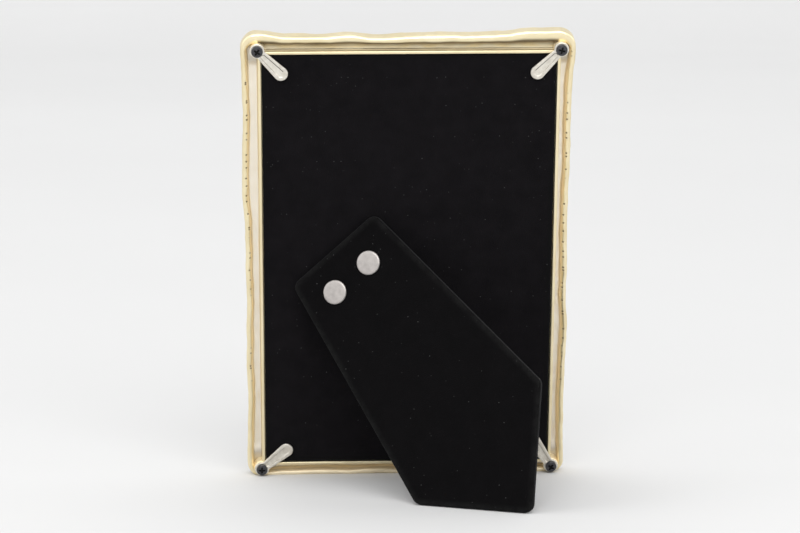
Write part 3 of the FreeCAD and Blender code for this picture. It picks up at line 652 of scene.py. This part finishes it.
def cast_point(x, depth, z, outwards, angle, side, share):
    """Move a point of the true section as the hand-made pattern strays and dents."""
    loose = smooth_step(INNER_WALL, RIM_INSIDE - 0.6, outwards)
    outer = smooth_step(RIM_INSIDE + 0.2, RIM_OUTSIDE - 0.4, outwards)
    follow = inner_follow(side, share)
    spot = Vector((x, depth, z))
    stray = wander_at(side, share) * loose * (follow + (1 - follow) * outer)
    stray -= TOP_RIM_BULGE * (1 - follow) * (1 - outer) * loose
    dent = noise.noise(spot / 2.6) * 0.14 + noise.noise(spot / 7.0) * 0.20
    stray += dent * loose
    across = math.radians(angle)
    lift = noise.noise(spot / 5.0 + Vector((9, 0, 0))) * 0.30 * loose
    if in_channel(outwards, depth):
        shallow = max(0.6 * near_corner(side, share), side == TOP and share < 1)
        lift += TOP_CHANNEL_RISE * shallow * smooth_step(CHANNEL_FLOOR + 3.5, CHANNEL_FLOOR, depth)
    return x + stray * math.cos(across), depth + lift, z + stray * math.sin(across)


def along_bar(side, share, wanted):
    """1 along the wanted bar, fading to 0 at its corners."""
    return smooth_step(0.0, 0.04, share) * smooth_step(1.0, 0.96, share) if side == wanted else 0.0


def plating_and_shade_at(outwards, depth, z, side, share):
    """How the casting's gold looks at a point, and where shade and reflection are painted on it, as the fields
    that its material reads.
    """
    above_floor = depth > CHANNEL_FLOOR - 0.1
    on_side_bar = side % 2 == 0 and share < 1 and z > -0.3 * OPENING_HEIGHT
    floor = in_channel(outwards, depth) * smooth_step(CHANNEL_FLOOR + 0.9, CHANNEL_FLOOR + 0.2, depth)
    top_bar = side == TOP and share < 1
    bottom_bar = along_bar(side, share, BOTTOM)

    # the channel's walls and the rim's inner half are dull, and so is the whole rim of the bottom bar
    in_reach = outwards < RIM_OUTSIDE - 1.2 * RIM_ROUND
    walls = in_reach * smooth_step(RIM_CREST - 0.2, RIM_CREST - 0.8, depth)
    dull = max(walls, bottom_bar * (outwards < RIM_OUTSIDE))
    dull *= (outwards > INNER_WALL - 0.1) * above_floor * (1 - floor)

    # painted shade down the top bar's inner flank and on its channel floor, darkest at the rim's foot, and fainter
    # painted shade on the channel floor round the corners and on the bottom bar's rim
    flank = smooth_step(RIM_INSIDE - 0.2, RIM_INSIDE + 0.1, outwards)
    flank *= smooth_step(RIM_OUTSIDE - 1.2 * RIM_ROUND, RIM_OUTSIDE - 1.6 * RIM_ROUND, outwards)
    shaded_floor = floor * (0.35 + 0.5 * smooth_step(1.8, 3.2, outwards))
    painted_shade = top_bar * above_floor * max(flank, shaded_floor)
    painted_shade = max(painted_shade, 0.45 * floor * near_corner(side, share))
    painted_shade = max(painted_shade, 0.3 * bottom_bar * (outwards > RIM_INSIDE and depth > RIM_CREST - 2))
    return {
        "rim_along": z + 200 * side,
        "off_crest": outwards - (RIM_OUTSIDE - RIM_ROUND),
        "on_crest": float(on_side_bar and depth > RIM_CREST - 1.2 and outwards > RIM_INSIDE - 0.1),
        # painted reflection on the channel floor, kept faint on the top bar, whose floor lies in shade
        "paleness": floor * (0.2 if top_bar else 0.9),
        "dullness": dull,
        "painted_shade": painted_shade,
    }


def frame_casting():
    section = casting_section()
    long_steps = round(OPENING_HEIGHT / CAST_STEP)
    short_steps = round(OPENING_WIDTH / CAST_STEP)
    ground = UPRIGHT.inverted()
    points, loops, plate_and_shade_fields = [], [], []
    for outwards, depth in section:
        radius = 0.3 + (OUTER_CORNER - 0.3) * max(0, outwards) / RIM_OUTSIDE
        half_width = OPENING_WIDTH / 2 + outwards
        half_height = OPENING_HEIGHT / 2 + outwards
        edges = [(0, half_width), (90, half_height), (180, half_width), (270, half_height)]
        loop = rounded_loop(edges, radius, [long_steps, short_steps] * 2, 12)
        loops.append(len(points))
        for x, z, angle, side, share in loop:
            placed = UPRIGHT @ Vector(cast_point(x, depth, z, outwards, angle, side, share))
            placed.z = max(0, placed.z)
            points.append(ground @ placed)
            plate_and_shade_fields.append(plating_and_shade_at(outwards, depth, z, side, share))
    faces = []
    for index, start in enumerate(loops):
        faces += bridge(start, loops[(index + 1) % len(loops)], len(loop))
    piece = make_piece("casting", points, faces, UPRIGHT, MATERIALS["gold_plate"], "frame")
    for name in plate_and_shade_fields[0]:
        add_field(piece, name, [float(fields[name]) for fields in plate_and_shade_fields])
    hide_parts("frame_casting")


def add_field(piece, name, values):
    field = piece.data.attributes.new(name, "FLOAT", "POINT")
    field.data.foreach_set("value", values)


def add_local_field(piece, place, name, value_at):
    """A field worked out from each point in the piece's own millimetres."""
    back = place.inverted()
    add_field(piece, name, [value_at(back @ vertex.co) for vertex in piece.data.vertices])


def clear_of_board(x, z, to_side, to_end):
    """Push a point of a post out of the opening's corner."""
    into_side, into_end = -to_side - x, -to_end - z
    if into_side <= 0 or into_end <= 0:
        return x, z
    if into_side < into_end:
        return -to_side, z
    return x, -to_end


def corner_boss(corner):
    """A post in the channel for the corner screw, cut square where the board sits."""
    across, up = CORNERS[corner]
    middle_up = SCREW_UP - up * SCREW_DROP
    to_side = SCREW_ACROSS - OPENING_WIDTH / 2
    to_end = middle_up - OPENING_HEIGHT / 2
    radius = BOSS_RADIUS + (0.1 if up > 0 else 0.35)
    profile = [(0.0, CHANNEL_FLOOR - 0.3), (0.0, BOSS_TOP - 0.3)]
    profile += [(0.3 - x, z) for x, z in arc((0, BOSS_TOP - 0.3), 0.3, 0, 90, 4)]
    profile += [(0.3, BOSS_TOP)]
    points, loops = [], []
    for inset, depth in profile:
        ring = arc((0, 0), radius - inset, 0, 360, 56)
        loops.append(len(points))
        for x, z in ring:
            x, z = clear_of_board(x, z, to_side, to_end)
            points.append((across * (SCREW_ACROSS + x), depth, up * (middle_up + z)))
    count = len(ring)
    faces = []
    for start, following in zip(loops, loops[1:]):
        faces += bridge(start, following, count)
    faces.append(tuple(range(loops[0], loops[0] + count)))
    faces.append(tuple(range(loops[-1], loops[-1] + count)))
    gold = MATERIALS["gold_plate"]
    piece = make_piece("boss_" + corner, points, faces, UPRIGHT, gold, "frame")
    add_field(piece, "dullness", [0.8] * len(points))
    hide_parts("frame_casting")


# ---------------------------------------------------------------- velvet covers

def velvet_tray(name, edges, corner, straight_steps, rear, front, place, body, node, material):
    """Velvet over a board's rear face and edges: a soft-edged outer skin and its inner face."""
    soft = 0.7
    skins = [(0, front)]
    skins += [(soft - x, rear - soft + y) for x, y in arc((0, 0), soft, 0, 90, 6)]
    skins += [(soft, rear), (1.4, rear), (2.4, rear), (6.0, rear)]
    skins += [(6.0, rear - VELVET_THICK), (VELVET_THICK, rear - VELVET_THICK), (VELVET_THICK, front)]
    points, loops, wear = [], [], []
    for inset, depth in skins:
        inner = [(angle, distance - inset) for angle, distance in edges]
        loop = rounded_loop(inner, max(0.3, corner - inset), straight_steps, 8)
        loops.append(len(points))
        wear += [smooth_step(2.4, soft, inset)] * len(loop)
        points += [(x, depth, z) for x, z, angle, side, share in loop]
    count = len(loop)
    outer_cap = 1 + skins.index((6.0, rear))
    faces = []
    for index in range(len(skins)):
        following = (index + 1) % len(skins)
        if following == outer_cap:
            faces.append(tuple(range(loops[index], loops[index] + count)))
            faces.append(tuple(range(loops[following], loops[following] + count)))
        else:
            faces += bridge(loops[index], loops[following], count)
    piece = make_piece(name, points, faces, place, material, body)
    add_field(piece, "edge_wear", wear)
    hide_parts(node)
    return piece


def board_velvet():
    half_width, half_height = BOARD_WIDTH / 2, BOARD_HEIGHT / 2
    edges = [(0, half_width), (90, half_height), (180, half_width), (270, half_height)]
    piece = velvet_tray("board_velvet", edges, 0.8, [40, 26, 40, 26], 0, -BOARD_THICK, UPRIGHT,
                        "frame", "backboard_velvet", MATERIALS["black_velvet"])


def leg_edges():
    """The leg's five sides as outward angle and distance from the middle of the hinge pin."""
    low, high = math.radians(LEG_FLARE_LOW), math.radians(LEG_FLARE_HIGH)
    low_side = (LEG_TOP_WIDTH / 2 - LEG_TOP_OFFSET) * math.cos(low) + HINGE_INSET * math.sin(low)
    high_side = (LEG_TOP_WIDTH / 2 + LEG_TOP_OFFSET) * math.cos(high) + HINGE_INSET * math.sin(high)
    return [(LEG_FLARE_LOW, low_side), (90, HINGE_INSET), (180 - LEG_FLARE_HIGH, high_side),
            (180 + LEG_LEAN, LEG_SIDE_REACH), (270 + LEG_LEAN, LEG_FOOT_REACH)]


def leg_velvet():
    material = black_velvet("leg_velvet", 0.38, 0.018)
    piece = velvet_tray("leg_velvet_cover", leg_edges(), LEG_CORNER, [24, 12, 24, 16, 24],
                        LEG_OUTER, LEG_INNER, LEG, "leg", "leg_velvet", material)


# ---------------------------------------------------------------- turn buttons, screws, rivets

def button_outline(inset):
    """Round head and flared arm as one loop of (x, z), the arm along -Z."""
    head = BUTTON_HEAD - inset
    tip = BUTTON_TIP - inset
    neck = BUTTON_NECK - inset
    tilt = math.asin((tip - neck) / BUTTON_REACH)
    shoulder_x, shoulder_z = tip * math.cos(tilt), -BUTTON_REACH + tip * math.sin(tilt)
    # where the arm's straight side leaves the round head
    slope = (shoulder_x - neck) / -shoulder_z
    drop = 0.0
    for step in range(8):
        drop = math.sqrt(head * head - (neck + slope * drop) ** 2)
    joint = (neck + slope * drop, -drop)
    start = math.degrees(math.atan2(joint[1], joint[0]))
    loop = arc((0, 0), head, start, 180 - start, 44)
    loop += line((-joint[0], joint[1]), (-shoulder_x, shoulder_z), 8)
    lean = math.degrees(tilt)
    loop += arc((0, -BUTTON_REACH), tip, 180 - lean, 360 + lean, 24)
    loop += line((shoulder_x, shoulder_z), joint, 8)
    return loop


def button_trough(inset):
    """The pressed hollow along the arm, from the screw's head to just short of the tip."""
    wide = 1.35 - inset
    narrow = 0.95 - inset
    start = -BUTTON_HEAD - 0.35
    end = -BUTTON_REACH + 0.1
    loop = arc((0, end), wide, 180, 360, 16)
    loop += line((wide, end), (narrow, start), 6)
    loop += arc((0, start), narrow, 0, 180, 10)
    loop += line((-narrow, start), (-wide, end), 6)
    return loop


def button_bore(inset):
    return arc((0, 0), BUTTON_BORE - inset, 0, 360, 32)


def stack_loops(points, faces, outline, levels):
    """Add loops of an outline at (inset, height) levels and join them; returns both end loops."""
    starts = []
    for inset, height in levels:
        loop = outline(inset)
        starts.append(len(points))
        points += [(x, height, z) for x, z in loop]
    for first, second in zip(starts, starts[1:]):
        faces += bridge(first, second, len(loop))
    count = len(loop)
    return list(range(starts[0], starts[0] + count)), list(range(starts[-1], starts[-1] + count))


def fill_between(points, loops):
    """Triangles that fill a flat face bounded by an outer loop and holes."""
    patch = bmesh.new()
    numbers, edges = {}, []
    for loop in loops:
        vertices = []
        for number in loop:
            vertex = patch.verts.new(points[number])
            numbers[vertex] = number
            vertices.append(vertex)
        for index, vertex in enumerate(vertices):
            edges.append(patch.edges.new((vertex, vertices[(index + 1) % len(vertices)])))
    bmesh.ops.triangle_fill(patch, use_beauty=True, edges=edges)
    faces = [tuple(numbers[vertex] for vertex in face.verts) for face in patch.faces]
    patch.free()
    return faces


def trough_fade(z):
    """How deep the trough is along the arm, as a share: it runs out towards the tip."""
    return 0.25 + 0.75 * smooth_step(-BUTTON_REACH - 1.0, -BUTTON_REACH + 2.5, z)


def trough_crease(point, place):
    """1 on the wall of the trough that faces down at rest, where a shade line is painted dark."""
    drop = BUTTON_UNDER + BUTTON_THICK - point.y
    in_wall = 0.06 < drop < 0.58 * trough_fade(point.z)
    if not in_wall or abs(point.x) > 1.45 or not -BUTTON_REACH < point.z < -1.9:
        return 0.0
    axis_z = max(-BUTTON_REACH + 0.1, min(-BUTTON_HEAD - 0.35, point.z))
    outwards = place.to_3x3() @ Vector((point.x, 0, point.z - axis_z))
    return smooth_step(0.15, 0.6, outwards.normalized().z)


def turn_button(corner):
    under = BUTTON_UNDER
    top = BUTTON_UNDER + BUTTON_THICK
    points, faces = [], []
    low_edge, top_edge = stack_loops(points, faces, button_outline, [
        (0.12, under), (0.0, under + 0.12), (0.0, top - 0.3), (0.04, top - 0.14),
        (0.14, top - 0.04), (0.3, top)])
    trough_edge, trough_floor = stack_loops(points, faces, button_trough, [
        (-0.10, top), (0.0, top - 0.03), (0.07, top - 0.12), (0.12, top - 0.45), (0.22, top - 0.56),
        (0.45, top - 0.6)])
    for number in range(trough_edge[0], len(points)):
        x, height, z = points[number]
        points[number] = (x, top + (height - top) * trough_fade(z), z)
    bore_top, bore_low = stack_loops(points, faces, button_bore, [
        (-0.1, top), (0.0, top - 0.1), (0.0, under)])
    faces += fill_between(points, [top_edge, trough_edge, bore_top])
    faces += fill_between(points, [trough_floor])
    faces += fill_between(points, [low_edge, bore_low])
    place = corner_place(corner)
    piece = make_piece("button_" + corner, points, faces, place,
                       MATERIALS["nickel_plate"], "button_" + corner, 50)
    # the painted shade line is fainter on the bottom buttons
    strength = 1.0 if CORNERS[corner][1] > 0 else 0.35
    add_local_field(piece, place, "crease", lambda point: strength * trough_crease(point, place))
    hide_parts("turn_button_" + corner)


def cross_recess(x, z, height):
    """Depth of the screwdriver recess below the domed head."""
    if height < HEAD_UNDERSIDE + 0.5:
        return 0.0
    along, aside = max(abs(x), abs(z)), min(abs(x), abs(z))
    within = smooth_step(0.36, 0.22, aside) * smooth_step(1.25, 1.0, along)
    return -(0.55 + 0.35 * smooth_step(1.0, 0.0, along)) * within


def in_recess(point):
    """1 well inside the recess, which the light hardly reaches."""
    drop = -cross_recess(point.x, point.z, HEAD_UNDERSIDE + HEAD_HEIGHT)
    return smooth_step(0.05, 0.35, drop) * (point.y > HEAD_UNDERSIDE)


def corner_screw(corner):
    profile = [(0, HEAD_UNDERSIDE + HEAD_HEIGHT)]
    for step in range(1, 25):
        radius = 1.62 * step / 24
        profile.append((radius, HEAD_UNDERSIDE + 0.86 + 0.44 * math.cos(math.pi / 2 * radius / 1.75)))
    edge = arc((HEAD_RADIUS - 0.33, HEAD_UNDERSIDE + 0.6), 0.33, 75, -10, 5)
    profile += edge
    profile += [(HEAD_RADIUS - 0.02, HEAD_UNDERSIDE), (SCREW_COLLAR, HEAD_UNDERSIDE)]
    profile += [(SCREW_COLLAR, 0), (SCREW_SHANK, 0), (SCREW_SHANK, -SCREW_LENGTH), (0, -SCREW_LENGTH)]
    twist = {"top_right": 12, "top_left": 31, "bottom_right": 50, "bottom_left": 22}[corner]
    place = corner_place(corner) @ Matrix.Rotation(math.radians(twist), 4, "Y")
    piece = turned_piece("screw_" + corner, profile, 96, place, MATERIALS["black_screw"], "frame",
                         cross_recess)
    add_local_field(piece, place, "recess", in_recess)
    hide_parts("corner_screw_" + corner)


def rivet_dents(x, z, height):
    return 0.03 * noise.noise(Vector((x, height, z)) / 1.4) if height > LEG_OUTER else 0.0


def leg_rivet(name, along):
    top = LEG_OUTER + 0.8
    profile = [(0, top)]
    profile += [(radius, top - 0.05 * (radius / 3.4) ** 2) for radius in (0.6, 1.2, 1.8, 2.4, 3.0, 3.4)]
    rim, tail = RIVET_RADIUS, LEG_INNER - 0.85
    profile += [(rim - 0.65 + 0.65 * x, top - 0.62 + 0.55 * z) for x, z in arc((0, 0), 1, 80, 0, 8)]
    profile += [(rim, LEG_OUTER + 0.18), (rim - 0.1, LEG_OUTER), (RIVET_SHANK, LEG_OUTER)]
    profile += [(RIVET_SHANK, tail + 0.35), (RIVET_TAIL, tail + 0.35), (RIVET_TAIL, tail + 0.1)]
    profile += [(RIVET_TAIL - 0.15, tail), (0, tail)]
    place = LEG @ Matrix.Translation((along, 0, -RIVET_DROP))
    piece = turned_piece("rivet_" + name, profile, 72, place, MATERIALS["rivet_nickel"], "leg",
                         rivet_dents)
    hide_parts("leg_rivet_" + name)


# ---------------------------------------------------------------- studio

def backdrop():
    """Floor paper that sweeps up far behind the object."""
    far, rise, half = -2.2, 1.6, 3.5
    section = [(6.0, 0.0), (0.0, 0.0)]
    for step in range(25):
        angle = math.pi / 2 * step / 24
        section.append((far - rise * math.sin(angle), rise - rise * math.cos(angle)))
    section.append((far - rise, 4.0))
    points = []
    for y, z in section:
        points += [(-half, y, z), (half, y, z)]
    faces = [(2 * i, 2 * i + 1, 2 * i + 3, 2 * i + 2) for i in range(len(section) - 1)]
    mesh = bpy.data.meshes.new("backdrop")
    mesh.from_pydata(points, [], faces)
    mesh.shade_smooth()
    mesh.materials.append(studio_paper())
    sweep = bpy.data.objects.new("backdrop", mesh)
    bpy.context.scene.collection.objects.link(sweep)


def soft_light(name, place, target, size, power):
    lamp = bpy.data.lights.new(name, "AREA")
    lamp.shape = "RECTANGLE"
    lamp.size, lamp.size_y = size
    lamp.energy = power
    light = bpy.data.objects.new(name, lamp)
    light.location = place
    light.rotation_euler = (Vector(target) - Vector(place)).to_track_quat("-Z", "Y").to_euler()
    bpy.context.scene.collection.objects.link(light)


def studio_lights():
    middle = (0, 0, 0.07)
    soft_light("overhead", (0.15, -0.1, 1.5), middle, (1.2, 1.2), 4.5)
    soft_light("left_panel", (1.3, 0.3, 0.9), middle, (0.8, 1.0), 4)
    soft_light("right_panel", (-1.4, 0.1, 0.8), middle, (0.8, 1.0), 3)
    soft_light("camera_side", (-0.1, 1.2, 1.2), middle, (1.5, 0.8), 16)
    bpy.context.scene.world = graded_world()


def graded_world():
    """A bright white studio, dimmer low down on the camera's side."""
    world = bpy.data.worlds.new("studio")
    world.use_nodes = True
    tree = world.node_tree
    coordinates = tree.nodes.new("ShaderNodeTexCoord")
    direction = tree.nodes.new("ShaderNodeSeparateXYZ")
    tree.links.new(coordinates.outputs["Generated"], direction.inputs["Vector"])
    behind = ramp(tree, direction.outputs["Y"], [(0.0, 1.0), (0.9, 0.9)])
    upward = ramp(tree, direction.outputs["Z"], [(0.0, 0.0), (0.75, 1.0)])
    tree.links.new(mix(tree, upward, behind, (1.0, 1.0, 1.0)), tree.nodes["Background"].inputs["Color"])
    tree.nodes["Background"].inputs["Strength"].default_value = 0.95
    return world


def colour_management():
    """A plain display transform, as a product photograph has."""
    bpy.context.scene.view_settings.view_transform = "Standard"


def photo_camera():
    """The camera, fitted to the corners of board and leg, the screws and the rivets together.

    The board's own axes are right, up and towards the back."""
    turn = Matrix.Rotation(math.radians(-0.35), 4, "Z") @ Matrix.Rotation(math.radians(20.41), 4, "X")
    turn = turn @ Matrix.Rotation(math.radians(2.47), 4, "Y")
    board_to_camera = Matrix.Translation((2.86, 1.30, -1008.63)) @ turn
    board_to_upright = Matrix(((-1, 0, 0, 0), (0, 0, 1, 0), (0, 1, 0, 0), (0, 0, 0, 1)))
    place, rotation, scale = (UPRIGHT @ board_to_upright @ board_to_camera.inverted()).decompose()
    lens = bpy.data.cameras.new("camera")
    lens.sensor_width = 36
    lens.lens = 127.7
    lens.clip_start = 0.05
    lens.clip_end = 30
    camera = bpy.data.objects.new("camera", lens)
    camera.location = place
    camera.rotation_mode = "QUATERNION"
    camera.rotation_quaternion = rotation
    bpy.context.scene.collection.objects.link(camera)
    bpy.context.scene.camera = camera


# ---------------------------------------------------------------- build

def build():
    dress_cad_nodes()
    frame_casting()
    board_velvet()
    leg_velvet()
    for corner in CORNERS:
        corner_boss(corner)
        turn_button(corner)
        corner_screw(corner)
    leg_rivet("lower", RIVET_SPREAD)
    leg_rivet("upper", -RIVET_SPREAD)
    backdrop()
    studio_lights()
    colour_management()
    photo_camera()


build()
